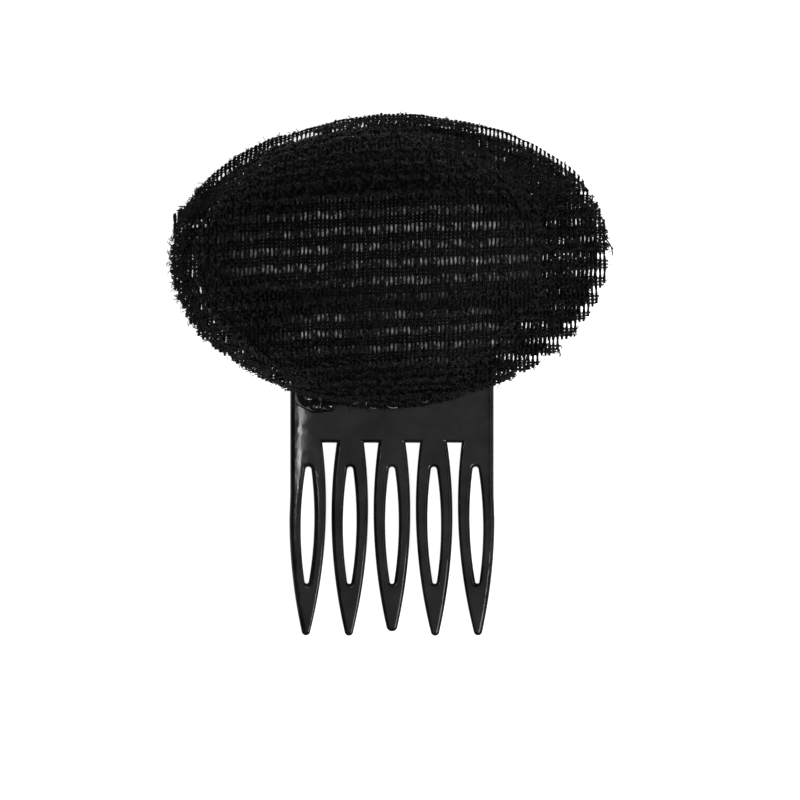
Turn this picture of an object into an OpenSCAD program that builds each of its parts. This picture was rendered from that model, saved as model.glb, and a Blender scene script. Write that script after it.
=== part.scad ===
// Volumizing hair pad: a domed pad of stiff grip mesh over a foam core, glued
// to the plate of a comb with five slotted teeth. It lies on its back, with the
// dome up (+Z) and the teeth pointing along -Y. Z = 0 is the surface under it.
// All sizes are in millimetres.

/* [Pad] */
// Half of the pad's width
pad_half_w = 53.9; // [50:0.1:57]
// From the pad's middle to its upper edge
pad_up = 36.7; // [34:0.1:40]
// From the pad's middle to its lower edge
pad_down = 36; // [34:0.1:38]
// Power of the upper half of the outline, 2 being a true ellipse
upper_power = 2; // [1.8:0.05:2.4]
// Power of the lower half of the outline, a little more pointed
lower_power = 1.85; // [1.7:0.05:2.2]
// How far the pad sits turned on its comb, in degrees
pad_turn = 2.7; // [0:0.1:4]
// The middle of the pad along Y
pad_y = 27.5; // [26.5:0.1:28.5]
// How much higher the rim lies over the comb than at the far edge
rim_rise = 5.8; // [5.7:0.1:7]

/* [Cover and core] */
// Thickness of the grip mesh, with its hooks pressed down
mesh_t = 1.2; // [1:0.1:1.5]
// How far the back cover lies inside the front cover's rim
back_inset = 2.4; // [1.5:0.1:3]
// How far the middle of the back is hollowed for the head
back_hollow = 3; // [2.5:0.1:4]
// Thickness of the foam core in the middle
core_h = 15; // [9:0.5:18]
// Half of the foam core's width
core_half_w = 42; // [36:0.5:42]
// Half of the foam core's height along Y
core_half_h = 31; // [26:0.5:31]
// How far the core sits left of the pad's middle, which leaves a flat brim on the right
core_shift = 4.8; // [0:0.1:5]
// Power of the core's profile, more being flatter on top
core_power = 2.4; // [2:0.1:3]

/* [Comb plate] */
// Width of the comb
comb_w = 50; // [50:0.5:52]
// The middle of the comb along X
comb_x = 0.6; // [0:0.1:1]
// Thickness of the moulded plate
comb_t = 2.2; // [1.8:0.1:2.4]
// Height of the plate, most of which the pad hides
plate_h = 26; // [22:0.5:28]
// How far the comb is arched across its width
arch = 2.4; // [2:0.1:2.6]
// Radius of the plate's hidden corners
plate_corner = 3; // [1:0.5:5]

/* [Teeth] */
// Length of a tooth from its root to its tip
tooth_len = 47.3; // [45:0.1:48]
// Greatest width of a tooth
tooth_w = 9.06; // [8:0.02:9.2]
// From the root to where a tooth is widest
belly = 16.9; // [16:0.1:18]
// Distance between two teeth at their roots
pitch = 10.2; // [10.1:0.01:10.3]
// How much each tooth leans out from the one inside it, in degrees
fan = 0.45; // [0:0.05:0.6]
// How much shorter the middle tooth is moulded
middle_short = 1.1; // [0:0.1:2]
// Greatest width of the slot in a tooth
slot_w = 3.24; // [2.6:0.02:3.4]
// Thickness left at the very tip
tip_t = 1.3; // [1:0.1:1.8]

/* [Glue] */
// How high the bead of glue stands over the plate
bead_h = 1.7; // [0.8:0.05:1.8]
// Width of the bead, which shows at the pad's lower left
bead_w = 11.1; // [8:0.1:12]
// Width of the hidden bed of glue between the plate and the back cover
bed_w = 30; // [16:1:32]
// Length of the hidden bed along Y
bed_l = 8; // [5:0.5:8.5]

/* [Hidden] */

teeth = 5;
middle = (teeth - 1) / 2;
// The Y of the teeth's roots and tips, and of the pad's far edge
root_y = -17;
tip_y = root_y - tooth_len;
pad_top = pad_y + pad_up;
pad_span = pad_up + pad_down;
// Room between the two covers at the rim, half of which is left on each side of the core
gap = 0.4;

// A spindle's half width is narrowed by this share of the square of the way along it
tooth_curve = 0.004;
slot_curve = 0.0054;
// The slot's ends, measured up and down from its own widest place
slot_up = 13.7;
slot_down = 14.9;
// How far the slot's middle lies below the tooth's widest place
slot_drop = 2.7;
// Points along each side of a spindle, and round each of its ends
side_steps = 10;
end_steps = 6;

// The arch is a ring of this radius about an axis along Y
arch_r = (pow(comb_w / 2, 2) + arch * arch) / (2 * arch);
axis_z = arch - arch_r;
// A tooth thins over the rest of its length from here
thin_from = root_y - tooth_len * 0.55;

// The bead's place, the ball it is cut from and the radius of the cap that is left
bead_x = -17.2;
bead_y = -7.2;
bead_ball = 3;
bead_cap = sqrt(pow(bead_ball, 2) - pow(bead_ball - bead_h, 2));
// The hidden bed starts here, and a neck of glue joins it to the bead
bed_y = 0;
bed_top = 5.3;
neck_w = 4;

// Steps round the pad and from the crown to the rim
round_steps = 60;
dome_steps = 12;
panel_steps = 6;

// The front cover's foot lies this far outside the core. Its side's power is lower on a
// steeper side, and its foot's power higher on a sharper bend into the brim.
foot_room = 4;
side_power = 0.75;
foot_power = 9;
// Room over the core's edge, where the cover bends most
core_ease = 0.35;

// The pad's outline and surfaces

function sgn(v) = v < 0 ? -1 : 1;

// Power and half height of the half of the outline that an angle or a Y lies in
function half_power(v) = v >= 0 ? upper_power : lower_power;
function half_height(v) = v >= 0 ? pad_up : pad_down;

// A point of the outline before the pad is turned
function outline(t, inset) =
    let (e = 2 / half_power(sin(t)))
    [
        (pad_half_w - inset) * sgn(cos(t)) * pow(abs(cos(t)), e),
        (half_height(sin(t)) - inset) * sgn(sin(t)) * pow(abs(sin(t)), e)
    ];

// How far out a point lies, from 0 in the middle to 1 on the inset outline
function reach(p, inset) =
    let (n = half_power(p.y))
    pow(
        pow(abs(p.x) / (pad_half_w - inset), n)
        + pow(abs(p.y) / (half_height(p.y) - inset), n),
        1 / n
    );

// A point of the pad's own plan, turned and moved to its place
function placed(p) = [
    p.x * cos(pad_turn) - p.y * sin(pad_turn),
    p.x * sin(pad_turn) + p.y * cos(pad_turn) + pad_y
];

// Height of the plane that the pad's rim lies in, which lifts from the far edge to the comb
function rim_z(y) = rim_rise * (pad_top - y) / pad_span;

function raised(p, z) = let (q = placed(p)) [q.x, q.y, rim_z(q.y) + z];

// The hollow back, over the rim's plane
function hollow(p) = back_hollow * (1 - pow(min(1, reach(p, back_inset)), 2));

// How far out a point lies on the oval where the cover comes down off the core
function foot_reach(p) =
    norm([
        (p.x + core_shift) / (core_half_w + foot_room),
        p.y / (core_half_h + foot_room)
    ]);

// How far the core lifts the front cover off the back one
function bump(p) =
    let (s = min(1, foot_reach(p)))
    core_h * pow(1 - pow(s, core_power), side_power) * (1 - pow(s, foot_power));

function back_top(p) = hollow(p) + mesh_t;
function front_under(p) = back_top(p) + gap + bump(p);

// Share of the way out at each step, closer together near the rim
function step_out(i, n) = sin(90 * i / n);

angles = [for (j = [0 : round_steps - 1]) 360 * j / round_steps];

function front_ring(i, thick) =
    [for (t = angles) let (p = outline(t, 0) * step_out(i, dome_steps)) raised(p, front_under(p) + thick)];

function back_ring(i, thick) =
    [for (t = angles) let (p = outline(t, back_inset) * i / panel_steps) raised(p, hollow(p) + thick)];

// The core's own oval, which is smaller than the pad and lies to its left
function core_xy(t, s) = [core_half_w * cos(t) * s - core_shift, core_half_h * sin(t) * s];

function core_floor(p) = back_top(p) + gap / 2;
function core_roof(p, s) = front_under(p) - gap / 2 - core_ease * s;

function core_ring(s, over) =
    [for (t = angles) let (p = core_xy(t, s)) raised(p, over ? core_roof(p, s) : core_floor(p))];

// A closed solid from a top point, rings that go out, over the edge and back, and a last point
module ring_solid(top, rings, bottom) {
    n = len(rings[0]);
    last = len(rings) - 1;
    end = 1 + n * len(rings);
    polyhedron(
        points = [top, each [for (r = rings) each r], bottom],
        faces = [
            for (j = [0 : n - 1]) let (k = (j + 1) % n) each [
                [0, 1 + k, 1 + j],
                each [
                    for (i = [0 : 1 : last - 1]) let (a = 1 + n * i, b = a + n) each [
                        [a + j, a + k, b + k],
                        [a + j, b + k, b + j]
                    ]
                ],
                [1 + n * last + j, 1 + n * last + k, end]
            ]
        ]
    );
}

module front_cover() {
    crown = [0, 0];
    color([0.06, 0.06, 0.07])
        ring_solid(
            raised(crown, front_under(crown) + mesh_t),
            [
                for (i = [1 : dome_steps]) front_ring(i, mesh_t),
                for (i = [dome_steps : -1 : 1]) front_ring(i, 0)
            ],
            raised(crown, front_under(crown))
        );
}

module back_cover() {
    crown = [0, 0];
    color([0.08, 0.08, 0.09])
        ring_solid(
            raised(crown, back_top(crown)),
            [
                for (i = [1 : panel_steps]) back_ring(i, mesh_t),
                for (i = [panel_steps : -1 : 1]) back_ring(i, 0)
            ],
            raised(crown, hollow(crown))
        );
}

module foam_core() {
    crown = core_xy(0, 0);
    color([0.13, 0.13, 0.15])
        ring_solid(
            raised(crown, core_roof(crown, 0)),
            [
                for (i = [1 : dome_steps]) core_ring(step_out(i, dome_steps), true),
                for (i = [panel_steps : -1 : 1]) core_ring(i / panel_steps, false)
            ],
            raised(crown, core_floor(crown))
        );
}

// The comb

// Radius of the round end that meets both sides of a spindle
function end_radius(half_w, curve, length) =
    let (b = 1 - 2 * curve * length, c = curve * length * length - half_w)
    (sqrt(b * b - 4 * curve * c) - b) / (2 * curve);

// A leaf shape that is widest at the middle and has a round end above and below
module spindle(half_w, curve, up, down) {
    top_r = end_radius(half_w, curve, up);
    low_r = end_radius(half_w, curve, down);
    top_y = up - top_r;
    low_y = down - low_r;
    right = [
        for (i = [0 : side_steps])
            let (s = -low_y + (top_y + low_y) * i / side_steps)
            [half_w - curve * s * s, s]
    ];
    turns = [for (i = [1 : end_steps - 1]) 180 * i / end_steps];
    over = [for (t = turns) [top_r * cos(t), top_y + top_r * sin(t)]];
    under = [for (t = turns) [-low_r * cos(t), -low_y - low_r * sin(t)]];
    left = [for (i = [side_steps : -1 : 0]) [-right[i].x, right[i].y]];
    polygon([each right, each over, each left, each under]);
}

// Puts a shape where the tooth with this number has its widest place
module at_tooth(i) {
    translate([comb_x + (i - middle) * pitch, root_y])
        rotate(fan * (i - middle))
            translate([0, -belly])
                children();
}

module tooth(i) {
    down = tooth_len - belly - (i == middle ? middle_short : 0);
    at_tooth(i)
        spindle(tooth_w / 2, tooth_curve, belly + plate_corner, down);
}

module slot(i) {
    at_tooth(i)
        translate([0, -slot_drop])
            spindle(slot_w / 2, slot_curve, slot_up, slot_down);
}

// The plate, with its two upper corners rounded
module plate() {
    translate([comb_x - comb_w / 2, root_y]) {
        square([comb_w, plate_h - plate_corner]);
        translate([plate_corner, 0])
            square([comb_w - 2 * plate_corner, plate_h]);
        for (x = [plate_corner, comb_w - plate_corner])
            translate([x, plate_h - plate_corner])
                circle(plate_corner, $fn = 32);
    }
}

// The outer edge of an outer tooth runs on straight from the plate to the tooth's widest place
module straight_edges() {
    for (side = [-1, 1])
        translate([comb_x + side * (comb_w - tooth_w / 2) / 2, root_y - belly / 2])
            square([tooth_w / 2, belly + 2], center = true);
}

module comb_plan() {
    difference() {
        union() {
            plate();
            straight_edges();
            for (i = [0 : teeth - 1])
                tooth(i);
        }
        for (i = [0 : teeth - 1])
            slot(i);
    }
}

// A ring about an axis along Y that is as thick as the comb and thins towards the tips
module arched_sheet() {
    translate([comb_x, 0, axis_z])
        rotate([-90, 0, 0])
            rotate_extrude($fn = 720)
                polygon([
                    [arch_r, tip_y - 1],
                    [arch_r + tip_t, tip_y - 1],
                    [arch_r + comb_t, thin_from],
                    [arch_r + comb_t, root_y + plate_h + 1],
                    [arch_r, root_y + plate_h + 1]
                ]);
}

module comb() {
    color([0.15, 0.15, 0.16])
        intersection() {
            arched_sheet();
            translate([0, 0, -1])
                linear_extrude(arch + comb_t + 2)
                    comb_plan();
        }
}

// The glue

// Everything below the top of the plate, with a hair's gap over it
module plate_and_below() {
    translate([comb_x, 0, axis_z])
        rotate([90, 0, 0])
            cylinder(r = arch_r + comb_t + gap / 4, h = 3 * plate_h, center = true, $fn = 720);
}

// The visible bead, a rod with round ends that the plate cuts to a low cap
module bead() {
    half = bead_w / 2 - bead_cap;
    slope = asin((bead_x - comb_x) / (arch_r + comb_t));
    plate_top = axis_z + (arch_r + comb_t) * cos(slope);
    translate([bead_x, bead_y, plate_top + bead_h - bead_ball])
        rotate([0, slope, 0]) {
            rotate([0, 90, 0])
                cylinder(r = bead_ball, h = 2 * half, center = true, $fn = 48);
            for (x = [-half, half])
                translate([x, 0, 0])
                    sphere(bead_ball, $fn = 48);
        }
}

module glue_bead() {
    color([0.05, 0.05, 0.05])
        difference() {
            union() {
                bead();
                translate([bead_x, bead_y, 0])
                    cube([neck_w, bed_y - bead_y + 1, bed_top]);
                translate([comb_x - bed_w / 2, bed_y, 0])
                    cube([bed_w, bed_l, bed_top]);
            }
            plate_and_below();
        }
}

comb();
front_cover();
back_cover();
foam_core();
glue_bead();
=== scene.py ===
# %% [markdown]
# A volumizing hair pad is a bump of stiff black grip mesh over a sponge, glued to a comb.
# It is worn under the top layer of the hair. The solids from the CAD step say how big each
# piece is and where it lies, and this script dresses them: real threads woven over the dome,
# hooks on the threads, a sponge, a moulded comb with rounded teeth and a lump of glue.
# The frame is loaded first.

import math
from contextlib import contextmanager

import bpy
import numpy as np
from mathutils import Matrix, Vector


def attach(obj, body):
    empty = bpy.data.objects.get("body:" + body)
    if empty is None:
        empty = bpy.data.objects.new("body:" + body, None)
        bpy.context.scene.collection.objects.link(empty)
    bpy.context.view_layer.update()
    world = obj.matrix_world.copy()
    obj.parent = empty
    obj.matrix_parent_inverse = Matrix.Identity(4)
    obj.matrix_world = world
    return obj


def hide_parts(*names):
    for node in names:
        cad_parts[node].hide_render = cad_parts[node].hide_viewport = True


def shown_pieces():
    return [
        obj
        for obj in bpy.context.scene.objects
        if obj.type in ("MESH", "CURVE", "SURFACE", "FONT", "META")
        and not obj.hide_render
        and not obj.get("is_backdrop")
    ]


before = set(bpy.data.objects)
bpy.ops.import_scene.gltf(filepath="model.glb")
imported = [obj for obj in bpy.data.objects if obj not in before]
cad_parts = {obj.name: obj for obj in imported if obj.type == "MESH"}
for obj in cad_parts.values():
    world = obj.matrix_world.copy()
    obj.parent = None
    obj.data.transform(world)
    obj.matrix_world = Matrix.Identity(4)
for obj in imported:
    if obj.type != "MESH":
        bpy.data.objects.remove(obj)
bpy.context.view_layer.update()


def in_mm(metres, digits=1):
    return [round(1000 * float(m), digits) for m in metres]


# %% [markdown]
# The photograph looks straight down on the pad, with its far edge at the top. One of its 800
# pixels is 0.245 mm, so it is 196 mm wide. A long lens from 0.9 m keeps the dome from looking
# bigger than its rim, as it does there.

# %% Camera
FIELD, CAMERA_UP, SENSOR_MM = 0.196, 0.9, 36
FRAME_MIDDLE = Vector((0.00257, -0.0065, 0.003))


def linked(name, data):
    """A new object with this data, linked to the scene."""
    new = bpy.data.objects.new(name, data)
    bpy.context.scene.collection.objects.link(new)
    return new


camera = linked("camera", bpy.data.cameras.new("camera"))
camera.location = FRAME_MIDDLE + Vector((0, 0, CAMERA_UP))
camera.data.sensor_width = SENSOR_MM
camera.data.lens = SENSOR_MM * CAMERA_UP / FIELD
camera.data.clip_start, camera.data.clip_end = 0.05, 5
bpy.context.scene.camera = camera
print("lens in mm:", round(camera.data.lens, 1))

# %% [markdown]
# The background is white paper that was let burn out. A large plain floor with light of its
# own does the same, so shadows stay faint. A narrow strip light hangs on the left,
# a soft box stands on the right towards the viewer, a low one lights the pad's right end, and a
# weak wide one is over the camera. The horizon is dark. So the comb's flat faces are dark grey,
# its rounded edges are nearly black, and the strip draws one bright streak where the comb's
# arch tilts towards it. The strip is short, so the streak fades out on the plate.

# %% Floor and lights
PAPER_WHITE, PAPER_GLOW, ROOM_LIGHT = 0.86, 0.85, 0.04


def soft_light(name, place, size, watts):
    """A rectangular lamp that looks at the pad. One at the side has its first size along Y."""
    lamp = linked(name, bpy.data.lights.new(name, "AREA"))
    lamp.data.shape, lamp.data.energy = "RECTANGLE", watts
    lamp.data.size, lamp.data.size_y = size
    lamp.location = place
    lamp.rotation_euler = (Vector((0, 0, 0)) - Vector(place)).to_track_quat("-Z", "Y").to_euler()


def painted(name, **sockets):
    """A material with these values in its shader."""
    material = bpy.data.materials.new(name)
    material.use_nodes = True
    shader = material.node_tree.nodes["Principled BSDF"]
    for socket, value in sockets.items():
        shader.inputs[socket.replace("_", " ")].default_value = value
    return material, shader


bpy.ops.object.select_all(action="DESELECT")
bpy.ops.mesh.primitive_plane_add(size=4)
floor = bpy.context.object
floor.name = "floor"
floor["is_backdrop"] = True

paper_colour = (PAPER_WHITE, PAPER_WHITE, PAPER_WHITE, 1)
glow = {"Emission_Color": (1, 1, 1, 1), "Emission_Strength": PAPER_GLOW}
dry = {"Roughness": 0.9, "Specular_IOR_Level": 0.1}
floor.data.materials.append(painted("paper", Base_Color=paper_colour, **dry, **glow)[0])

soft_light("light_strip", (-0.358, 0.10, 0.98), (0.34, 0.008), 1.0)
soft_light("light_box", (0.60, -0.36, 0.80), (0.34, 0.34), 6.0)
soft_light("light_side", (0.85, 0.05, 0.62), (0.6, 0.16), 1.6)
soft_light("light_over", (0, 0, 1.8), (1.5, 1.5), 8.0)

world = bpy.data.worlds.new("studio")
bpy.context.scene.world = world
world.use_nodes = True
sky = world.node_tree.nodes["Background"]
sky.inputs["Color"].default_value, sky.inputs["Strength"].default_value = (1, 1, 1, 1), ROOM_LIGHT
bpy.context.scene.view_settings.view_transform = "Standard"

# %% [markdown]
# Small helpers come next, for what Blender's operators need every time. An operator works
# on all that is selected, so `alone` selects one piece and nothing else, and `editing` opens
# it in edit mode. Points are read and written through arrays, because a net has a hundred
# thousand of them.

# %% Helpers for pieces and points
def alone(piece):
    """Selects this piece only, and makes it active."""
    bpy.ops.object.select_all(action="DESELECT")
    piece.select_set(True)
    bpy.context.view_layer.objects.active = piece
    return piece


def named(name):
    """Names the piece that an operator has just made."""
    piece = bpy.context.object
    piece.name = piece.data.name = name
    return piece


def added(name, add, **how):
    """Adds a primitive with nothing else selected, and names it."""
    bpy.ops.object.select_all(action="DESELECT")
    add(**how)
    return named(name)


@contextmanager
def editing(first="SELECT"):
    """Edits the active piece, with all of it selected at first, or nothing."""
    bpy.ops.object.mode_set(mode="EDIT")
    bpy.ops.mesh.select_all(action=first)
    yield
    bpy.ops.object.mode_set(mode="OBJECT")


def points_of(piece):
    co = np.empty(3 * len(piece.data.vertices), np.float32)
    piece.data.vertices.foreach_get("co", co)
    return co.reshape(-1, 3).astype(float)


def move_points(piece, co):
    piece.data.vertices.foreach_set("co", np.asarray(co, np.float32).ravel())
    piece.data.update()


def triangles(piece):
    piece.data.calc_loop_triangles()
    return len(piece.data.loop_triangles)


def one_piece(pieces, name):
    """Joins pieces to the first of them."""
    alone(pieces[0])
    for piece in pieces:
        piece.select_set(True)
    bpy.ops.object.join()
    return named(name)


def modified(piece, kind, **settings):
    """Adds a modifier with these settings, and applies it."""
    alone(piece)
    modifier = piece.modifiers.new(kind.lower(), kind)
    for setting, value in settings.items():
        setattr(modifier, setting, value)
    bpy.ops.object.modifier_apply(modifier=modifier.name)


def repeat(piece, count, step, weld=False):
    """Sets copies of a piece in a row, a step apart."""
    offset = {"use_relative_offset": False, "use_constant_offset": True}
    join = {"use_merge_vertices": weld, "merge_threshold": 1e-5}
    modified(piece, "ARRAY", count=count, constant_offset_displace=step, **offset, **join)


# %% [markdown]
# The pad's form is a few formulas, the same as in the part's source. `reach` says how far
# out a point lies, from 0 in the middle to 1 on the rim. The back is a shallow hollow, the
# core lifts the front in a lens shape, and outside the core the two layers lie together as
# a thin brim. The rim's plane rises towards the comb, which the pad lies on. Scissors don't cut
# a perfect oval, so CUT_MM says how far outside or inside of it the cut runs in some directions.

# %% The pad's form
PAD_HALF_W, PAD_UP, PAD_DOWN = 0.0539, 0.0367, 0.0360
UPPER_POWER, LOWER_POWER = 2.0, 1.85
PAD_TURN, PAD_Y = math.radians(2.7), 0.0275
PAD_TOP, PAD_SPAN, RIM_RISE = PAD_Y + PAD_UP, PAD_UP + PAD_DOWN, 0.0058
MESH_T, GAP, BACK_INSET, BACK_HOLLOW = 0.0012, 0.0004, 0.0024, 0.003
CORE_H, CORE_HALF_W, CORE_HALF_H, CORE_SHIFT = 0.015, 0.042, 0.031, 0.0048
CORE_POWER, SIDE_POWER, FOOT_POWER, FOOT_ROOM = 2.4, 0.75, 9, 0.004


def reach(x, y, inset=0.0):
    n = np.where(y >= 0, UPPER_POWER, LOWER_POWER)
    half_h = np.where(y >= 0, PAD_UP, PAD_DOWN) - inset
    return (np.abs(x / (PAD_HALF_W - inset)) ** n + np.abs(y / half_h) ** n) ** (1 / n)


CUT_DEGREES = [-180, -170, -162, -152, -134, -60, -40, -20, 0, 10, 18]
CUT_MM = [-0.2, -0.5, 0.0, -0.5, 0.0, 0.1, 0.7, 0.5, -0.2, 0.3, 0.9]
CUT_DEGREES += [26, 34, 56, 66, 84, 104, 122, 132, 146, 168, 180]
CUT_MM += [0.6, 0.0, -0.5, -0.8, -0.4, -0.9, -1.0, 0.0, 0.5, 0.5, -0.2]


def rim_distance(x, y):
    """How far inside the rim a point lies, in metres, and less than 0 outside it."""
    oval = (1 / np.maximum(reach(x, y), 1e-6) - 1) * np.hypot(x, y)
    return oval + 0.001 * np.interp(np.degrees(np.arctan2(y, x)), CUT_DEGREES, CUT_MM)


def placed(x, y, z):
    """Turns and moves a point of the pad's own plan to its place, over the rim's plane."""
    row_x = x * math.cos(PAD_TURN) - y * math.sin(PAD_TURN)
    row_y = x * math.sin(PAD_TURN) + y * math.cos(PAD_TURN) + PAD_Y
    rim_z = RIM_RISE * (PAD_TOP - row_y) / PAD_SPAN
    return np.stack([row_x, row_y, rim_z + z], axis=-1)


def hollow(x, y):
    return BACK_HOLLOW * (1 - np.minimum(1, reach(x, y, BACK_INSET)) ** 2)


def bump(x, y):
    s = np.hypot((x + CORE_SHIFT) / (CORE_HALF_W + FOOT_ROOM), y / (CORE_HALF_H + FOOT_ROOM))
    s = np.minimum(1, s)
    return CORE_H * (1 - s**CORE_POWER) ** SIDE_POWER * (1 - s**FOOT_POWER)


def front_under(x, y):
    return hollow(x, y) + MESH_T + GAP + bump(x, y)


print("height over the middle in mm:", in_mm([front_under(0.0, 0.0)], 2))

# %% [markdown]
# The two nets lie on that form. The front one rests just over the core, and its last two
# millimetres bend down, where it closes round the back panel. The back one lies on the
# inside of the back cover's solid, which leaves room for its hooks. `off_surface` also moves
# points along the surface's normal, which it finds from four neighbours.

# %% Where the nets lie
NET_LIFT = 0.00038
RIM_BEND, RIM_DROP = 0.0022, 0.0009


def front_surface(x, y):
    bend = np.clip(1 - rim_distance(x, y) / RIM_BEND, 0, 1)
    return placed(x, y, front_under(x, y) + NET_LIFT - RIM_DROP * bend**2)


def back_surface(x, y):
    return placed(x, y, hollow(x, y) + MESH_T - NET_LIFT)


def off_surface(surface, x, y, height):
    """Points at a height over a surface, and the surface's normals there."""
    h = 5e-5
    along = surface(x + h, y) - surface(x - h, y)
    across = surface(x, y + h) - surface(x, y - h)
    normal = np.cross(along, across)
    normal /= np.linalg.norm(normal, axis=-1, keepdims=True)
    return surface(x, y) + normal * np.asarray(height)[..., None], normal


# %% [markdown]
# Grip mesh is woven from stiff nylon. Upright threads stand 1.03 mm apart. The threads that
# cross them come in bands of three pairs, with an open row between two bands, so the net looks
# like rows of little ladders 4.15 mm apart. Every thread is a thin tube that is modelled flat
# and straight first: one ring is extruded from crossing to crossing, and Array modifiers make
# the long thread from it, and the whole set from the thread. The upright ones are wide and
# flat, so the bands are nearly closed.

# %% Straight threads
WARPS, WARP_ROWS, WEFTS = 107, 22, 120
WARP_PITCH, WARP_W, WARP_FLAT, WARP_SLIM = 0.00103, 0.00078, 0.38, 0.65
ROW_PITCH, PAIR_PITCH, WEFT_D, WEFT_APART = 0.00415, 0.0008, 0.00030, 0.00025
LADDER_AT = -0.0013
FIRST_PAIR = ROW_PITCH / 2 - PAIR_PITCH
CROSSINGS = [0, *[FIRST_PAIR + k * PAIR_PITCH for k in range(3)], ROW_PITCH]
WAVE = [0, 1, -1, 1, 0]


def tube(name, radius, along, steps, place, sides):
    """An open tube with a ring at each step along X or Y."""
    turn = (0, math.pi / 2, 0) if along == 0 else (math.pi / 2, 0, 0)
    circle = bpy.ops.mesh.primitive_circle_add
    piece = added(name, circle, vertices=sides, radius=radius, rotation=turn)
    bpy.ops.object.transform_apply(rotation=True)
    with editing():
        for step in steps:
            move = [0, 0, 0]
            move[along] = step
            bpy.ops.mesh.extrude_edges_move(TRANSFORM_OT_translate={"value": move})
    move_points(piece, points_of(piece) + np.array(place))
    return piece


def warp_set(name):
    start = (-(WARPS - 1) / 2 * WARP_PITCH, -WARP_ROWS / 2 * ROW_PITCH + LADDER_AT, 0)
    warps = tube(name, WARP_W / 2, 1, np.diff(CROSSINGS), start, sides=4)
    repeat(warps, WARP_ROWS, (0, ROW_PITCH, 0), weld=True)
    repeat(warps, WARPS, (WARP_PITCH, 0, 0))
    return warps


def weft_set(name):
    steps, rows = 55, WEFTS // 6
    first = -rows / 2 * ROW_PITCH + LADDER_AT + FIRST_PAIR - WEFT_APART / 2
    start = (-steps * WARP_PITCH, first, 0)
    wefts = tube(name, WEFT_D / 2, 0, [WARP_PITCH, WARP_PITCH], start, sides=3)
    repeat(wefts, steps, (2 * WARP_PITCH, 0, 0), weld=True)
    repeat(wefts, 2, (0, WEFT_APART, 0))
    repeat(wefts, 3, (0, PAIR_PITCH, 0))
    repeat(wefts, rows, (0, ROW_PITCH, 0))
    return wefts


front_warps, front_wefts = warp_set("front_warps"), weft_set("front_wefts")
print("straight threads:", [len(t.data.vertices) for t in (front_warps, front_wefts)], "points")

# %% [markdown]
# Over and under: at each crossing the two threads part by a tenth of a millimetre, first one
# on top and then the other. The tubes have a ring at every crossing, so it is enough to lift
# or lower whole rings by their place. In the middle of the open rows the upright threads are
# pulled together to two thirds of their width, which gives the openings their lens shape.

# %% Weave the threads
WEAVE_LIFT = 0.00009


def weave(warps, wefts):
    """Three pairs to a row is an odd number, so each row starts on the other side."""
    for threads, side in ((warps, 1), (wefts, -1)):
        co = points_of(threads)
        row, along = np.divmod(co[:, 1] - LADDER_AT, ROW_PITCH)
        turn = (1 - 2 * (np.round(co[:, 0] / WARP_PITCH) % 2)) * (1 - 2 * (row % 2))
        if side < 0:
            along = FIRST_PAIR + PAIR_PITCH * np.round((along - FIRST_PAIR) / PAIR_PITCH)
        else:
            middle = WARP_PITCH * np.round(co[:, 0] / WARP_PITCH)
            slim = np.where(np.minimum(along, ROW_PITCH - along) < 1e-5, WARP_SLIM, 1)
            co[:, 0], co[:, 2] = middle + (co[:, 0] - middle) * slim, co[:, 2] * WARP_FLAT
        co[:, 2] += side * WEAVE_LIFT * turn * np.interp(along, CROSSINGS, WAVE)
        move_points(threads, co)


weave(front_warps, front_wefts)
print("threads part by mm:", 2000 * WEAVE_LIFT)

# %% [markdown]
# In the photograph the upright threads run straight down the picture, while the rows climb
# to the right with the turned pad. Near the far edge the rows bend down with the rim, because
# the mesh was pulled over it, and towards both edges they lie closer together, because the
# dome falls away there. `on_pad` turns a point of the flat net into one of the pad's plan.

# %% From the flat net to the pad's plan
EVEN_FROM, EVEN_TO = -0.0125, 0.020
FAR_CLOSE, LOW_CLOSE = 0.865, 0.93
ROW_BEND, BEND_FROM, BEND_OVER, BEND_HALF_W = 0.92, 0.012, 0.024, 0.0545


def on_pad(u, v):
    far, low = np.maximum(v - EVEN_TO, 0), np.minimum(v - EVEN_FROM, 0)
    v = np.clip(v, EVEN_FROM, EVEN_TO) + FAR_CLOSE * far + LOW_CLOSE * low
    ease = np.clip((v - BEND_FROM) / BEND_OVER, 0, 1)
    ease = ease * ease * (3 - 2 * ease)
    dip = 1 - np.sqrt(1 - np.minimum(np.abs(u) / BEND_HALF_W, 1) ** 2)
    y = v - ROW_BEND * ease * dip * PAD_UP
    return u / math.cos(PAD_TURN) + y * math.tan(PAD_TURN), y


far_row = on_pad(np.array([0.0, 0.045]), 0.03)[1]
print("a far row lies in the middle and at the side at mm:", in_mm(far_row))

# %% [markdown]
# The mesh is cut with scissors along the rim, so each thread ends in a short stub of its own
# length. Each thread's last place inside the rim is looked up along its line. Rings beyond
# that are drawn back to it and welded into one, and the open end gets its cap. An upright end
# that no other thread holds would bend away, so at the lower rim at most LOOSE of it is kept.

# %% Cut the threads at the rim
NOTCH_AT, NOTCH_W, NOTCH_DEPTH = Vector((0.0510, 0.0142)), 0.0022, 0.0016
SHORTEST, LOOSE, LAST_PAIR = 0.014, 0.0008, FIRST_PAIR + 2 * PAIR_PITCH
WALK = np.linspace(-0.06, 0.06, 2401)


def inside_rim(x, y, inset):
    notch = NOTCH_DEPTH * np.exp(-((x - NOTCH_AT.x) ** 2 + (y - NOTCH_AT.y) ** 2) / NOTCH_W**2)
    return rim_distance(x, y) > inset + notch


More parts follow.
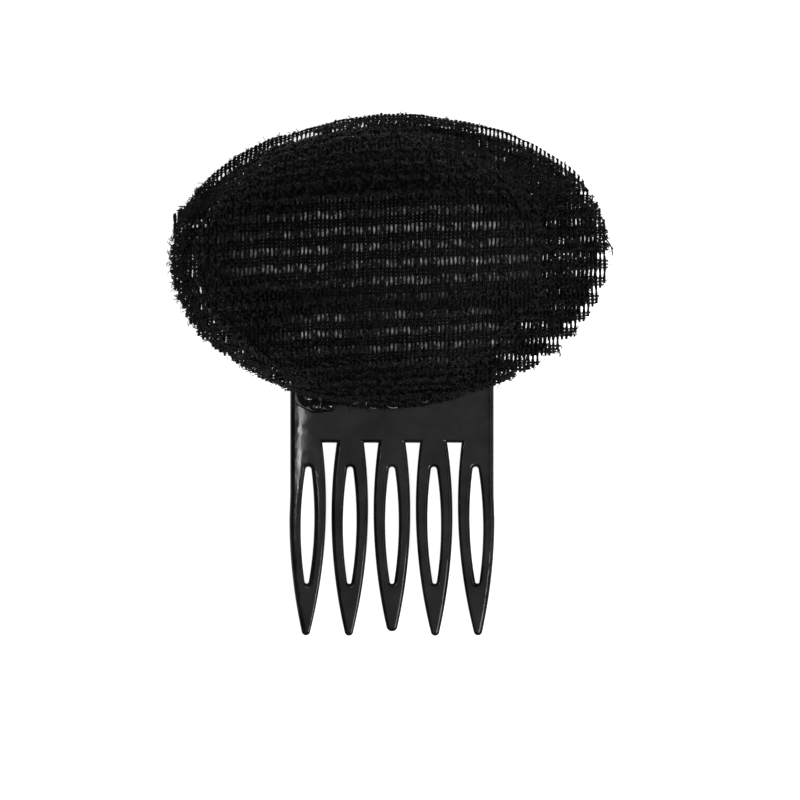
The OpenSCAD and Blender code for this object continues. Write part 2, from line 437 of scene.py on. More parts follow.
def trim(net, along, threads, inset, stubs, rng):
    """Cuts every thread where it leaves the rim. along is the axis that the threads follow."""
    co = points_of(net)
    number = np.arange(len(co)) * threads // len(co)
    gone = np.zeros(len(co), bool)
    for thread in range(threads):
        mine = number == thread
        middle = (co[mine, 1 - along].min() + co[mine, 1 - along].max()) / 2
        line = np.full_like(WALK, middle)
        u, v = (WALK, line) if along == 0 else (line, WALK)
        held = WALK[inside_rim(*on_pad(u, v), inset)]
        low, high = rng.uniform(stubs[0], stubs[1], 2)
        if len(held) < SHORTEST / (WALK[1] - WALK[0]):
            gone |= mine
            continue
        first = held[0]
        if along == 1:
            over = (first - LADDER_AT) % ROW_PITCH
            first += max(FIRST_PAIR + ROW_PITCH * (over > LAST_PAIR) - over - LOOSE, 0)
        co[mine, along] = np.clip(co[mine, along], first - low, held[-1] + high)
    move_points(net, co)
    alone(net)
    with editing("DESELECT"):
        bpy.ops.mesh.select_mode(type="VERT")
    net.data.vertices.foreach_set("select", gone)
    bpy.ops.object.mode_set(mode="EDIT")
    bpy.ops.mesh.delete(type="VERT")
    bpy.ops.mesh.select_all(action="SELECT")
    bpy.ops.mesh.remove_doubles(threshold=2e-6)
    bpy.ops.mesh.fill_holes(sides=6)
    bpy.ops.object.mode_set(mode="OBJECT")
    print(net.name, "has", len(net.data.vertices), "points left")


cuts = np.random.default_rng(11)
trim(front_warps, 1, WARPS, 0.0, (-0.0001, 0.0003), cuts)
trim(front_wefts, 0, WEFTS, 0.0, (-0.0003, 0.0001), cuts)

# %% [markdown]
# Now the cut net is laid over the dome. Real mesh is never quite even, so a slow wander of
# a few hundredths of a millimetre is added to its threads on the way.

# %% Lay the front net over the dome
def wander(u, v, size, seed):
    """A slow, small unevenness, made of a few waves that don't repeat together."""
    rng = np.random.default_rng(seed)
    total = np.zeros_like(u)
    for length in (0.031, 0.017, 0.009, 0.005):
        angle, phase = rng.uniform(0, 2 * math.pi, 2)
        total += np.sin((u * math.cos(angle) + v * math.sin(angle)) * 2 * math.pi / length + phase)
    return size * total / 2


def lay(net, surface, seed):
    u, v, height = points_of(net).T
    u, v = u + wander(u, v, 0.00012, seed), v + wander(u, v, 0.00018, seed + 1)
    x, y = on_pad(u, v)
    co, _ = off_surface(surface, x, y, height)
    move_points(net, co)


def one_net(name, warps, wefts, surface, seed):
    """Lays both thread sets and joins them to one piece."""
    lay(warps, surface, seed)
    lay(wefts, surface, seed)
    net = one_piece([warps, wefts], name)
    with editing():
        bpy.ops.mesh.normals_make_consistent(inside=False)
    bpy.ops.object.shade_smooth()
    return net


front_net = one_net("front_net", front_warps, front_wefts, front_surface, 21)
print("front net:", triangles(front_net), "triangles")

# %% [markdown]
# The back panel is the same mesh, cut 2.4 mm smaller and laid in the hollow. It is moved to
# the side by a third of the space between two threads. So where both nets show at the brim,
# their threads don't lie over each other, and the light comes through as small dots.

# %% Back net
BACK_SHIFT = np.array((-0.00034, 0.00045, 0))

back_warps, back_wefts = warp_set("back_warps"), weft_set("back_wefts")
weave(back_warps, back_wefts)
for threads in (back_warps, back_wefts):
    move_points(threads, points_of(threads) + BACK_SHIFT)

trim(back_warps, 1, WARPS, BACK_INSET, (-0.0002, 0.0003), cuts)
trim(back_wefts, 0, WEFTS, BACK_INSET, (-0.0002, 0.0002), cuts)
back_net = one_net("back_net", back_warps, back_wefts, back_surface, 31)
print("back net:", triangles(back_net), "triangles")

# %% [markdown]
# A hook is a piece of nylon that stands up from the mesh and curls over. One is modelled
# from a triangle: the face is extruded up to make the stem, and spun to make the curl. Four
# kinds are enough: a tight one, a wide one, one that was cut open and one that lies low.

# %% Four hooks
HOOK_D, STOUT_D = 0.00025, 0.00036


def hook(name, stem, curl, degrees, steps, thick=HOOK_D):
    """A stem of this length, and a curl of this radius that turns by so many degrees."""
    circle = bpy.ops.mesh.primitive_circle_add
    piece = added(name, circle, vertices=3, radius=thick / 2, fill_type="NGON")
    with editing():
        bpy.ops.mesh.select_mode(type="FACE")
        if stem:
            bpy.ops.mesh.extrude_region_move(TRANSFORM_OT_translate={"value": (0, 0, stem)})
        turn = math.radians(degrees)
        bpy.ops.mesh.spin(steps=steps, angle=turn, center=(curl, 0, stem), axis=(0, -1, 0))
        bpy.ops.mesh.select_all(action="SELECT")
        bpy.ops.mesh.remove_doubles(threshold=1e-6)
        bpy.ops.mesh.normals_make_consistent(inside=False)
    bpy.ops.object.shade_smooth()
    return piece


hooks = [
    hook("hook_tight", 0.0004, 0.00028, 220, 4),
    hook("hook_wide", 0.0003, 0.00044, 180, 3),
    hook("hook_open", 0, 0.00075, 100, 3),
    hook("hook_low", 0, 0.00055, 150, 3),
]
print("hooks:", [triangles(h) for h in hooks], "triangles each")
print("their tops in mm:", in_mm([points_of(h)[:, 2].max() for h in hooks], 2))

# %% [markdown]
# Copies are made by hand, as Shift+D would, and joined. Each copy has its own mesh, and its
# place goes into the mesh when it is joined to a piece that stands at the origin.

# %% Copies
def copies(name, models, places):
    """One piece from copies of the models, each put at a place, which is a matrix."""
    anchor = alone(linked(name, bpy.data.meshes.new(name)))
    for model, place in zip(models, places):
        one = linked("copy", model.data.copy())
        one.matrix_world = place
        one.select_set(True)
    bpy.ops.object.join()
    return anchor


# %% [markdown]
# Hooks grow in clumps. A heaped clump is thick in the middle and thins out to its sides, so
# it closes one opening and half hides the two beside it. Fillings and thin clumps close more.
# The mats are felt, where the hooks have caught in each other: two stouter hooks make them,
# which cover more with fewer faces. A few clumps of each kind are enough, because each copy
# is turned and sized a little differently.

# %% Clumps of hooks
def clump(name, kinds, count, half, rng, heaped):
    """Hooks that lean and curl in all directions. A heaped clump thins out towards its ends."""
    places = []
    for _ in range(count):
        x, y = rng.uniform(-1, 1, 2) * half
        if heaped:
            x = (x + rng.uniform(-1, 1) * half[0]) / 2
        turn, lean, size = rng.uniform(0, 2 * math.pi), rng.normal(0, 0.5), rng.uniform(0.8, 1.15)
        places.append(
            Matrix.Translation((x, y, 0))
            @ Matrix.Rotation(turn, 4, "Z")
            @ Matrix.Rotation(lean, 4, "X")
            @ Matrix.Scale(size, 4)
        )
    return copies(name, [kinds[i] for i in rng.integers(0, len(kinds), count)], places)


stout = (
    hook("hook_stout", 0.0002, 0.00040, 180, 3, STOUT_D),
    hook("hook_stout_low", 0, 0.00055, 150, 3, STOUT_D),
)
mixed = (*hooks[:2], *stout)
growth = np.random.default_rng(5)


def some(name, kinds, how_many, count, half, heaped=False):
    """A few clumps of one kind, with a count of hooks in each and its half sizes along X and Y."""
    half = np.array(half)
    return [clump(f"{name}_{i}", kinds, count, half, growth, heaped) for i in range(how_many)]


clumps = some("clump", mixed, 6, 18, (0.0010, 0.0006), heaped=True)
fillings = some("filling", mixed, 5, 17, (0.0006, 0.0007))
thin_clumps = some("thin_clump", hooks, 5, 12, (0.0019, 0.0005))
mats = some("mat", stout, 4, 17, (0.0020, 0.00055))
rim_mats = some("rim_mat", stout, 4, 18, (0.0014, 0.0007))
print("one clump:", triangles(clumps[0]), "triangles, a thin one:", triangles(thin_clumps[0]))

# %% [markdown]
# A clump has to stand on the dome, so its matrix is made from the surface's normal there. The
# same matrix can press it flat, because the height is scaled apart from the rest.

# %% Stand a model on a surface
def stand_on(surface, x, y, height, turn, size, flat=1.0):
    """The matrix that stands a model on a surface, with its Z along the normal."""
    place, normal = off_surface(surface, np.array([x]), np.array([y]), np.array([height]))
    up = Vector(normal[0]) * (1 if flat > 0 else -1)
    side = Vector((1, 0, 0))
    side = (side - up * side.dot(up)).normalized()
    frame_of = Matrix((side, up.cross(side), up)).transposed().to_4x4()
    scale = Matrix.Diagonal((size, size, size * abs(flat), 1))
    return Matrix.Translation(place[0]) @ frame_of @ Matrix.Rotation(turn, 4, "Z") @ scale


# %% [markdown]
# The photograph shows row by row where the sponge can be seen and where hooks fill the row.
# OPEN_ROWS keeps that as stretches in millimetres from the middle, each with the share of it
# that is clear.

# %% Where the rows are open
OPEN_ROWS = {
    4: [(-19, -15, 0.6)],
    3: [(-24, -13, 0.95), (-13, 27, 0.3), (37, 54, 0.9)],
    2: [(-28, 29, 1.0), (37, 54, 0.9)],
    1: [(-37, -20, 0.8), (-20, 33, 0.85), (38, 54, 0.7)],
    0: [(-45, -13, 0.95), (-13, 24, 0.8), (24, 34, 1.0), (36, 54, 0.8)],
    -1: [(-50, -4, 0.3), (-4, 34, 0.85), (34, 54, 0.9)],
    -2: [(-50, 3, 0.15), (3, 33, 0.6), (33, 54, 0.9)],
    -3: [(-24, -10, 0.9), (19, 30, 0.6), (30, 50, 0.9)],
    -4: [(-34, -28, 0.8), (-21, -7, 0.7), (-2, 15, 0.9), (17, 50, 0.9)],
    -5: [(-6, 20, 0.95), (20, 50, 0.7)],
    -6: [(-1, 13, 0.5), (24, 50, 0.7)],
}


def openness(row, u):
    """How open a row is at this place: 1 where it is clear, and 0 where hooks fill it."""
    shares = [share for low, high, share in OPEN_ROWS.get(row, []) if low < 1000 * u < high]
    return max(shares, default=0.0)


print("open stretches:", sum(len(row) for row in OPEN_ROWS.values()))

# %% [markdown]
# One heaped clump stands at every fourth upright thread of each row. `grown` walks over these
# places and leaves some out by a chance, which a small rule gives for each place. The same
# walk moved by half a step puts fillings between the clumps, and felt on the bands.

# %% Grow clumps over a net
CLUMP_PITCH, CLUMP_AT = 4 * WARP_PITCH, 2.5 * WARP_PITCH


def grown(name, kinds, inset, flat, chance, shift=(0, 0), columns=(-13, 14), surface=front_surface):
    """Sets a clump at each place of the hook rows where it has a chance to grow."""
    models, places = [], []
    for row in range(-9, 10):
        for column in range(*columns):
            u = CLUMP_AT + (column + shift[0]) * CLUMP_PITCH + growth.normal(0, 0.00012)
            v = LADDER_AT + (row + shift[1]) * ROW_PITCH + growth.normal(0, 0.00015)
            x, y = on_pad(u, v)
            room = rim_distance(x, y) - inset
            if room < 0 or growth.uniform() > chance(x, y, room, openness(row, u)):
                continue
            models.append(kinds[growth.integers(0, len(kinds))])
            turn = growth.normal(0, 0.3) + math.pi * growth.integers(0, 2)
            places.append(stand_on(surface, x, y, 0, turn, growth.uniform(0.9, 1.15), flat))
    piece = copies(name, models, places)
    print(name, "has", len(places), "clumps and", triangles(piece), "triangles")
    return piece


# %% [markdown]
# These rules say how likely a clump is at a place, from its room to the rim and how clear the
# row is. Over the sponge the bands carry no felt. By the rim some zones have lost their hooks,
# which BARE_ZONES gives in millimetres: from and to along X, from and to along Y, and the depth.
# Low on the right the last cells of the open rows are clear up to the rim, and the bands
# between them are closed up to it. Elsewhere the long clumps stay back from the rim.

# %% How likely a clump is
FULL, RARE, RARER = 0.97, 0.05, 0.02
BARE_ZONES = [
    (30, 60, -60, 1, 1.7),
    (22, 60, 12, 60, 2.0),
    (37, 60, 12, 60, 3.4),
    (-42, -16, 15, 60, 1.5),
]
CLEAR_DEPTH, CLEAR_ROW = 0.0042, 0.6


def over_core(x, y):
    return math.hypot((x + CORE_SHIFT) / CORE_HALF_W, y / CORE_HALF_H) < 0.95


def low_right(x, y):
    return x > 0.030 and y < 0.004


def bare_edge(x, y, room):
    x, y, room = 1000 * x, 1000 * y, 1000 * room
    return any(x0 < x < x1 and y0 < y < y1 and room < depth for x0, x1, y0, y1, depth in BARE_ZONES)


def hookless(x, y, room, clear):
    ladder_end = low_right(x, y) and room < CLEAR_DEPTH and clear > CLEAR_ROW
    return ladder_end or bare_edge(x, y, room)


def main_chance(x, y, room, clear):
    return RARE if hookless(x, y, room, clear) else 0.98 - 0.15 * (clear > 0.96)


def filling_chance(x, y, room, clear):
    return RARER if hookless(x, y, room, clear) else FULL - 0.92 * clear


def band_chance(x, y, room, clear):
    held_back = room < (0.0002 if low_right(x, y) else 0.0012)
    return 0.0 if held_back or over_core(x, y) else FULL


def brim_chance(x, y, room, clear):
    return 0.0 if over_core(x, y) or hookless(x, y, room, clear) else FULL - 0.6 * clear


def between_chance(x, y, room, clear):
    held_back = room < (0.0002 if low_right(x, y) else 0.0010)
    return 0.3 if held_back else FULL - 0.62 * clear * over_core(x, y)


def everywhere(x, y, room, clear):
    return FULL


print("chance of a clump in the middle:", main_chance(0, 0, 0.03, 0.8))
print("chance of a filling there:", round(filling_chance(0, 0, 0.03, 0.8), 2))

# %% [markdown]
# The rim and both ends of the pad are felt too. The mats are set side by side along the cut,
# where `on_rim` finds a point at a depth inside it.

# %% Felt along the rim
def on_rim(t, depth):
    """A point this deep inside the cut rim, at the angle t of the pad's oval."""
    x, y = (PAD_HALF_W - depth) * math.cos(t), (PAD_UP if t < math.pi else PAD_DOWN) * math.sin(t)
    r = float(reach(x, y))
    x, y = x / r, y / r
    grow = 1 + (float(rim_distance(x, y)) - depth) / math.hypot(x, y)
    return x * grow, y * grow


def along_rim(name, kinds, steps, depth, beyond):
    """Sets mats side by side along the rim, beyond an X to both sides, but not where it is bare."""
    models, places = [], []
    for t in np.linspace(0, 2 * math.pi, steps, endpoint=False):
        x, y = on_rim(t, depth + growth.normal(0, 0.0001))
        if abs(x) < beyond or bare_edge(x, y, 0.0):
            continue
        models.append(kinds[growth.integers(0, len(kinds))])
        turn = math.atan2(PAD_UP * math.cos(t), -PAD_HALF_W * math.sin(t)) + PAD_TURN
        places.append(stand_on(front_surface, x, y, 0, turn, growth.uniform(0.8, 1.0)))
    piece = copies(name, models, places)
    print(name, "has", len(places), "mats and", triangles(piece), "triangles")
    return piece


print("the rim's end on the right in mm:", in_mm(on_rim(0.0, 0.0)))

# %% [markdown]
# Now all the hooks are set, each layer as its own piece. On the back they are pressed flat,
# because the pad lies on them.

# %% Hooks on both nets
FLAT, BACK_FLAT = 0.7, -0.45

front_hooks = [
    grown("front_hooks_left", clumps, 0.0013, 1.0, main_chance, columns=(-13, 0)),
    grown("front_hooks_right", clumps, 0.0013, 1.0, main_chance, columns=(0, 14)),
    grown("front_hooks_filling", fillings, 0.0009, FLAT, filling_chance, (0.5, 0)),
    grown("front_hooks_between", thin_clumps, 0.0006, FLAT, between_chance, (0.5, 0.5)),
    grown("front_hooks_bands", mats, 0.0006, FLAT, band_chance, (0, 0.5)),
    grown("front_hooks_brim", mats, 0.0008, FLAT, brim_chance, (0.25, 0)),
    along_rim("front_hooks_rim", rim_mats, 150, 0.0013, 0.0),
    along_rim("front_hooks_ends", rim_mats, 140, 0.0027, 0.030),
]
at_back = {"inset": BACK_INSET + 0.0004, "flat": BACK_FLAT, "surface": back_surface}
back_hooks = [grown("back_hooks", thin_clumps, chance=everywhere, **at_back)]

# %% [markdown]
# Along the rim, loose ends of nylon stick out like whiskers. They are long and curled on the
# left, where the mesh has frayed, and short elsewhere. They are bent tubes like the hooks,
# laid down so that they point out from the rim. One long strand has come loose at the right
# end, and a few strands in the lower fringe are coloured pale as a painted glint of light.

# %% Whiskers along the rim
whisker_kinds = [
    hook("whisker_short", 0.0002, 0.0007, 80, 4),
    hook("whisker_curled", 0.0002, 0.0005, 150, 5, 0.00023),
    hook("whisker_long", 0.0005, 0.0020, 50, 5, 0.00021),
]
STRAY_AT = (0.0532, 0.0027)
GLINT_STRANDS = [
    (-0.0112, 0.25, 0.8),
    (-0.0065, -0.45, 0.7),
    (-0.0022, -0.35, 1.1),
    (0.0067, 0.2, 0.7),
    (-0.0077, 1.2, 0.6),
]


def laid(out, fall, roll):
    """Rolls a standing whisker, lays it down and turns it to point out this way."""
    turn = Matrix.Rotation(out, 4, "Z")
    return turn @ Matrix.Rotation(fall, 4, "Y") @ Matrix.Rotation(roll, 4, "Z")


def whiskers(name, count, rng):
    """They are thick on the frayed left and round the low middle, and few elsewhere."""
    models, places = [], []
    while len(places) < count:
        t = rng.uniform(0, 2 * math.pi)
        low_middle = math.exp(-(((t - 4.6) / 0.5) ** 2))
        frayed = max(0.5 - 0.5 * math.cos(t) - 0.3 * (math.sin(t) > 0.5), low_middle)
        if rng.uniform() > 0.12 + 0.88 * frayed:
            continue
        x, y = on_rim(t, rng.uniform(-0.0001, 0.0016))
        kind = rng.choice(3, p=(0.45, 0.35, 0.2) if frayed > 0.7 else (0.7, 0.25, 0.05))
        stand = stand_on(front_surface, x, y, 0.0001, 0, rng.uniform(0.55, 1.0))
        out = math.atan2(y, x) + PAD_TURN + rng.normal(0, 0.55)
        models.append(whisker_kinds[kind])
        places.append(stand @ laid(out, rng.uniform(1.0, 1.55), rng.uniform(0, 2 * math.pi)))
    models.append(whisker_kinds[2])
    stand = stand_on(front_surface, *STRAY_AT, 0.0002, 0, 1.9)
    places.append(stand @ laid(math.radians(-50), 1.5, -1.57))
    return copies(name, models, places)


def glint_strands(name, rng):
    """Loose strands along the lower rim, over the comb's plate, pale as a painted glint."""
    places = []
    for across, tilt, size in GLINT_STRANDS:
        x, y = on_rim(1.5 * math.pi + across / PAD_HALF_W, rng.uniform(0.0002, 0.0010))
        places.append(stand_on(front_surface, x, y, 0.0005, 0, size) @ laid(tilt, 1.45, 1.6))
    return copies(name, [whisker_kinds[2]] * len(places), places)


rim_whiskers = whiskers("rim_whiskers", 420, np.random.default_rng(8))
rim_strands = glint_strands("rim_strands", np.random.default_rng(9))
for model in [*hooks, *stout, *clumps, *fillings, *thin_clumps, *mats, *rim_mats, *whisker_kinds]:
    bpy.data.objects.remove(model)
print("whiskers:", triangles(rim_whiskers), "triangles")

# %% [markdown]
# The core is a soft sponge pad. It starts as a sphere whose rings are pressed onto the
# core's roof and floor, so its edge comes to a soft bead. A Displace modifier then roughens
# it as cut sponge is, and its pores are left to the material.

# %% Foam core
CORE_EASE, BEAD_FROM = 0.00035, 0.9

foam_core = added("foam_pad", bpy.ops.mesh.primitive_uv_sphere_add, segments=128, ring_count=72)
ball = points_of(foam_core)
s = np.minimum(1, np.hypot(ball[:, 0], ball[:, 1]))
x, y = CORE_HALF_W * ball[:, 0] - CORE_SHIFT, CORE_HALF_H * ball[:, 1]
roof = front_under(x, y) - GAP / 2 - CORE_EASE * s
bed = hollow(x, y) + MESH_T + GAP / 2
level = np.where(ball[:, 2] >= 0, roof, bed)
edge = np.clip((s - BEAD_FROM) / (1 - BEAD_FROM), 0, 1) ** 2
move_points(foam_core, placed(x, y, level + 0.25 * edge * (roof + bed - level)))
bpy.ops.object.shade_smooth()

lumps = bpy.data.textures.new("sponge lumps", "CLOUDS")
lumps.noise_scale = 0.004
modified(foam_core, "DISPLACE", texture=lumps, strength=0.0004, mid_level=0.9)
print("foam:", triangles(foam_core), "triangles, box in mm:", in_mm(foam_core.dimensions))

# %% [markdown]
# The comb's outline is a few formulas again: five leaf shapes whose sides are shallow curves
# and whose ends are round, hung from a straight plate. The loop of points runs round the
# plate and down and up each tooth. Each slot is a leaf of its own.

# %% The comb's outline
COMB_X, COMB_W, COMB_T, PLATE_H, ARCH = 0.0006, 0.050, 0.0022, 0.026, 0.0024
ROOT_Y, TOOTH_LEN, TOOTH_W, BELLY = -0.017, 0.0473, 0.00906, 0.0169
PITCH, FAN, MIDDLE_SHORT, TIP_T = 0.0102, math.radians(0.45), 0.0011, 0.0013
SLOT_W, SLOT_UP, SLOT_DOWN, SLOT_DROP = 0.00324, 0.0137, 0.0149, 0.0027
TOOTH_CURVE, SLOT_CURVE, PLATE_CORNER = 4.0, 5.4, 0.003
ROOT_HALF_W, STRAIGHT_TO, ROOT_ROOM = 0.00335, 0.004, 0.0002


def end_radius(half_w, curve, length):
    b, c = 1 - 2 * curve * length, curve * length**2 - half_w
    return (math.sqrt(b * b - 4 * curve * c) - b) / (2 * curve)


def leaf(half_w, curve, up, down, steps=26, ends=10):
    """The right side from top to bottom, the round lower end, and the left side and top."""
    top_r, low_r = end_radius(half_w, curve, up), end_radius(half_w, curve, down)
    side = np.linspace(up - top_r, -(down - low_r), steps)
    right = [(half_w - curve * y * y, y) for y in side]
    turns = np.linspace(0, math.pi, ends + 1)[1:-1]
    under = [(low_r * math.cos(t), -(down - low_r) - low_r * math.sin(t)) for t in turns]
    over = [(-top_r * math.cos(t), up - top_r + top_r * math.sin(t)) for t in turns]
    left = [(-px, py) for px, py in reversed(right)]
    return right + under + left, over


def at_tooth(number, path):
    turn, shift = FAN * (number - 2), COMB_X + (number - 2) * PITCH
    hung = [(px, py - BELLY) for px, py in path]
    c, s = math.cos(turn), math.sin(turn)
    return [(shift + px * c - py * s, ROOT_Y + px * s + py * c) for px, py in hung]


def comb_loop():
    half, r = COMB_W / 2, PLATE_CORNER
    x, y = COMB_X + half - r, ROOT_Y + PLATE_H - r
    path = [(x + r * math.cos(a), y + r * math.sin(a)) for a in map(math.radians, range(0, 91, 15))]
    path += [(2 * COMB_X - px, py) for px, py in reversed(path)]
    for number in range(5):
        down = TOOTH_LEN - BELLY - (MIDDLE_SHORT if number == 2 else 0)
        sides, _ = leaf(TOOTH_W / 2, TOOTH_CURVE, BELLY + PLATE_CORNER, down)
        round_tooth = at_tooth(number, sides)[::-1]
        wide = ROOT_Y - BELLY
        if number == 0:
            split = next(i for i, p in enumerate(round_tooth) if p[1] < wide)
            round_tooth = [(COMB_X - half, wide + STRAIGHT_TO)] + round_tooth[split:]
        if number == 4:
            split = max(i for i, p in enumerate(round_tooth) if p[1] < wide)
            round_tooth = round_tooth[: split + 1] + [(COMB_X + half, wide + STRAIGHT_TO)]
        path += [p for p in round_tooth if p[1] < ROOT_Y - ROOT_ROOM]
        if number < 4:
            x = COMB_X + (number - 2) * PITCH
            path += [(x + ROOT_HALF_W, ROOT_Y), (x + PITCH - ROOT_HALF_W, ROOT_Y)]
    return path


def slot_loop(number):
    sides, over = leaf(SLOT_W / 2, SLOT_CURVE, SLOT_UP, SLOT_DOWN)
    return at_tooth(number, [(px, py - SLOT_DROP) for px, py in sides + over])


comb_paths = [comb_loop(), *[slot_loop(i) for i in range(5)]]
print("comb outline:", [len(path) for path in comb_paths], "points")

# %% [markdown]
# A flat curve with holes makes the comb, because it can be given a thickness and a rounded
# edge in one go. Each loop starts as a circle with as many points as the loop has, which are
# moved onto it. The circles are joined and turned into one flat curve. Its inside is drawn
# in by the bevel's depth, so the rounded edge ends on the true outline.

# %% The flat comb with rounded edges
EDGE_R = 0.00100


def wire(name, path):
    piece = added(name, bpy.ops.mesh.primitive_circle_add, vertices=len(path))
    move_points(piece, [(px, py, 0) for px, py in path])
    return piece


one_piece([wire(f"wire_{i}", path) for i, path in enumerate(comb_paths)], "flat_comb")
bpy.ops.object.convert(target="CURVE")
flat_comb = bpy.context.object
flat_comb.data.dimensions = "2D"
flat_comb.data.fill_mode = "BOTH"
flat_comb.data.extrude = COMB_T / 2 - EDGE_R
flat_comb.data.bevel_depth = EDGE_R
flat_comb.data.bevel_resolution = 4
flat_comb.data.offset = -EDGE_R
bpy.ops.object.convert(target="MESH")
comb = named("comb_moulded")
with editing():
    bpy.ops.mesh.remove_doubles(threshold=1e-6)
    bpy.ops.mesh.normals_make_consistent(inside=False)
print("flat comb in mm:", in_mm(comb.dimensions, 2), triangles(comb), "triangles")

# %% [markdown]
# The real comb is arched to follow the head. A flat face can't bend where it has no points,
# so the comb is first cut across into narrow strips. Then every point is lifted onto the
# arch, and the teeth are thinned towards their tips on the way.

# %% Arch the comb
ARCH_R = ((COMB_W / 2) ** 2 + ARCH**2) / (2 * ARCH)
AXIS_Z = ARCH - ARCH_R
TIP_Y, THIN_FROM = ROOT_Y - TOOTH_LEN, ROOT_Y - 0.55 * TOOTH_LEN
STRIP_W, STRIP_H, EDGE_CUTS = 0.00125, 0.004, (0.0229, 0.0233, 0.0241)


def slice_up(piece, starts, normal):
    alone(piece)
    with editing():
        for start in starts:
            bpy.ops.mesh.select_all(action="SELECT")
            bpy.ops.mesh.bisect(plane_co=start, plane_no=normal, threshold=1e-7)


slice_up(comb, [(COMB_X + STRIP_W * i, 0, 0) for i in range(-19, 20)], (1, 0, 0))
slice_up(comb, [(COMB_X + side * cut, 0, 0) for side in (-1, 1) for cut in EDGE_CUTS], (1, 0, 0))
slice_up(comb, [(0, ROOT_Y - STRIP_H * i, 0) for i in range(-6, 12)], (0, 1, 0))
flat = points_of(comb)
thin = np.clip((THIN_FROM - flat[:, 1]) / (THIN_FROM - TIP_Y), 0, 1)
rise = (flat[:, 2] + COMB_T / 2) * (1 - (1 - TIP_T / COMB_T) * thin)
arched = np.sqrt((ARCH_R + rise) ** 2 - (flat[:, 0] - COMB_X) ** 2) + AXIS_Z
move_points(comb, np.column_stack([flat[:, 0], flat[:, 1], arched]))
alone(comb)
bpy.ops.object.shade_smooth()
modified(comb, "WEIGHTED_NORMAL", keep_sharp=False, weight=80)
print("arched comb in mm:", in_mm(comb.dimensions, 2), triangles(comb), "triangles")

# %% [markdown]
# Melted glue holds the comb to the pad. Two round lumps of it show at the pad's lower left.
# Two squashed spheres and a flat one under them are joined, remeshed into one skin and
# smoothed, which is how two drops run together. A flat bed of it, which can't be seen,
# carries on under the pad.

# %% Glue
def plate_top(x):
    return AXIS_Z + math.sqrt((ARCH_R + COMB_T) ** 2 - (x - COMB_X) ** 2)


def drop(name, x, y, size, sunk=0.0):
    """A squashed sphere in the plate's top, with its half sizes along X, Y and Z."""
    piece = added(name, bpy.ops.mesh.primitive_uv_sphere_add, segments=32, ring_count=16)
    place = (x, y, plate_top(x) - sunk)
    move_points(piece, points_of(piece) * np.array(size) + np.array(place))
    return piece


drops = [
    drop("drop_left", -0.0184, -0.0081, (0.0019, 0.0017, 0.0022)),
    drop("drop_right", -0.0148, -0.0079, (0.0019, 0.0016, 0.0022)),
    drop("drop_film", -0.0203, -0.0058, (0.0032, 0.0031, 0.0009), sunk=0.0004),
    drop("drop_run", -0.0173, -0.0048, (0.0056, 0.0050, 0.0012)),
    drop("drop_bed", COMB_X, 0.0035, (0.0150, 0.0062, 0.0009)),
]
glue = one_piece(drops, "glue_lumps")
modified(glue, "REMESH", mode="VOXEL", voxel_size=0.00042, use_smooth_shade=True)
modified(glue, "SMOOTH", factor=0.6, iterations=6)
print("glue:", triangles(glue), "triangles, box in mm:", in_mm(glue.dimensions))

# %% [markdown]
# Every finish is a few nodes on Object coordinates, which are metres here because each piece
# stands at the origin. `node` adds a node, `finish_of` starts a material with one for the
# place, `noise` is an even noise of a size in metres, and `spread` maps it to a range.

# %% Helpers for finishes
def feed(material, node, socket, value):
    """Sets an input to a value, or links it to another node's output."""
    if isinstance(value, bpy.types.NodeSocket):
        material.node_tree.links.new(value, node.inputs[socket])
    else:
        node.inputs[socket].default_value = value


def node(material, kind, inputs, **settings):
    """Adds a node with these settings and inputs, and gives back its outputs."""
    new = material.node_tree.nodes.new("ShaderNode" + kind)
    for setting, value in settings.items():
        setattr(new, setting, value)
    for socket, value in inputs.items():
        feed(material, new, socket, value)
    return new.outputs


def finish_of(name, **sockets):
    material, shader = painted(name, **sockets)
    return material, shader, node(material, "TexCoord", {})["Object"]


def noise(material, place, size, detail=3.0):
    inputs = {"Vector": place, "Scale": 1 / size, "Detail": detail}
    return node(material, "TexNoise", inputs)["Fac"]


def spread(material, value, low, high, among=(0.3, 0.7)):
    """Maps a value to a range. Most of a noise lies among 0.3 and 0.7."""
    inputs = {"From Min": among[0], "From Max": among[1], "To Min": low, "To Max": high}
    return node(material, "MapRange", {"Value": value, **inputs})["Result"]


def tint(material, shader, value, dark, light):
    """Gives the shader a colour between two, by a value."""
    inputs = {"Factor": value, "A": (*dark, 1), "B": (*light, 1)}
    mix = node(material, "Mix", inputs, data_type="RGBA")
    feed(material, shader, "Base Color", mix["Result"])


def dull(material, shader, value):
    feed(material, shader, "Roughness", value)


def relief(material, shader, height, depth):
    bumps = node(material, "Bump", {"Strength": 1, "Distance": depth, "Height": height})
    feed(material, shader, "Normal", bumps["Normal"])


def wear(piece, material, slot, *nodes):
    """Gives a piece its finish and its body, and hides the solids that it stands for. The slot is
    not used.
    """
    piece.data.materials.clear()
    piece.data.materials.append(material)
    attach(piece, "root")
    if nodes:
        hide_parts(*nodes)
    print(piece.name, "wears", material.name)


# %% [markdown]
# Nylon thread is black all through, with a dull shine where it has been drawn. Its colour
# and shine change a little from place to place. The hooks are single strands and glossier, so
# here and there one of them glints. A few strands are coloured pale as a painted glint.

# %% Nylon
def nylon(name, colours, dullness, among, **sockets):
    material, shader, place = finish_of(name, **sockets)
    tint(material, shader, spread(material, noise(material, place, 0.004), 0, 1), *colours)
    dull(material, shader, spread(material, noise(material, place, 0.0006), *dullness, among))
    relief(material, shader, noise(material, place, 0.00025), 0.00003)
    return material


